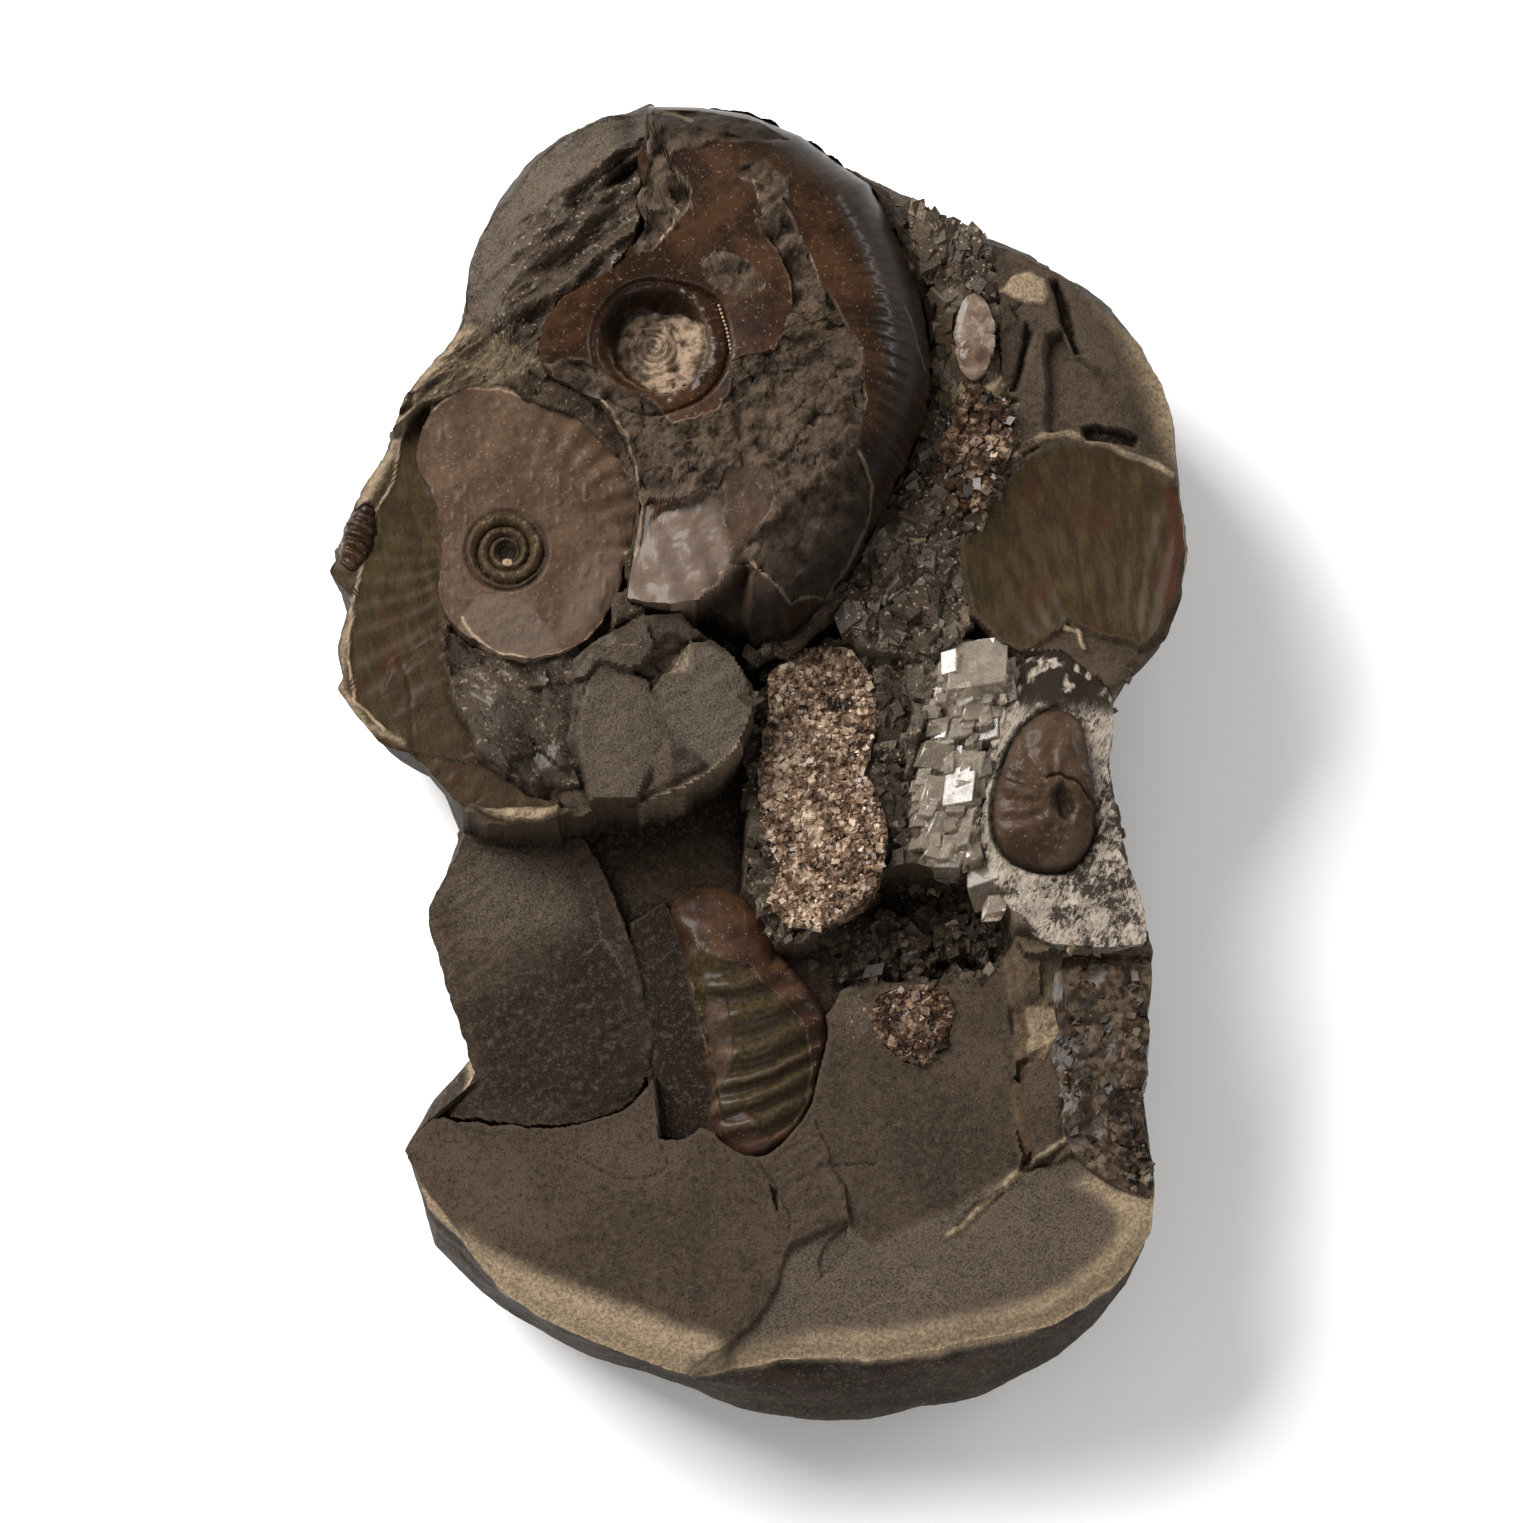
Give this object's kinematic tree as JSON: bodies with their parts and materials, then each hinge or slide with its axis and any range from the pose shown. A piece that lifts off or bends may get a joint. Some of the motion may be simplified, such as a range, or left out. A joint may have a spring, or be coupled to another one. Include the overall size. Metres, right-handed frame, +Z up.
{
  "type": "ammonite cluster plate",
  "caption": "Split mudstone nodule lying on its rounded back, its broken face showing coiled ammonite shells, shell moulds and calcite crystals.",
  "frame": {"origin": "middle of the object's box at the height of the surface that it rests on", "axes": "+Z up, away from the surface it rests on and out of the broken face; +Y along the stone, towards the large shell; +X to the right of a viewer who stands at the rounded front edge"},
  "size_m": [0.1946, 0.3046, 0.0854],
  "materials": {
    "mudstone": "dull broken stone with a tan weathered rind",
    "brown_shell": "glossy dark brown shell",
    "grey_shell": "satin grey-brown shell",
    "olive_shell": "satin olive-brown shell",
    "sugar_calcite": "sparkling cream and brown crystals",
    "brown_calcite": "sparkling dark brown crystals",
    "pink_calcite": "pinkish-white crystal",
    "white_calcite": "white and grey mottled sugary crystal",
    "clear_calcite": "clear to milky cleavage blocks"
  },
  "bodies": {
    "root": {"matrix_rock": "mudstone", "large_ammonite": "brown_shell", "left_ammonite": "grey_shell", "small_ammonite": "brown_shell", "ribbed_ammonite": "olive_shell", "edge_ammonite": "brown_shell", "central_calcite": "sugar_calcite", "lower_calcite": "brown_calcite", "upper_calcite": "brown_calcite", "oval_calcite": "pink_calcite", "pale_calcite_bed": "white_calcite", "clear_calcite": "clear_calcite", "dark_calcite": "brown_calcite"}
  },
  "joints": []
}
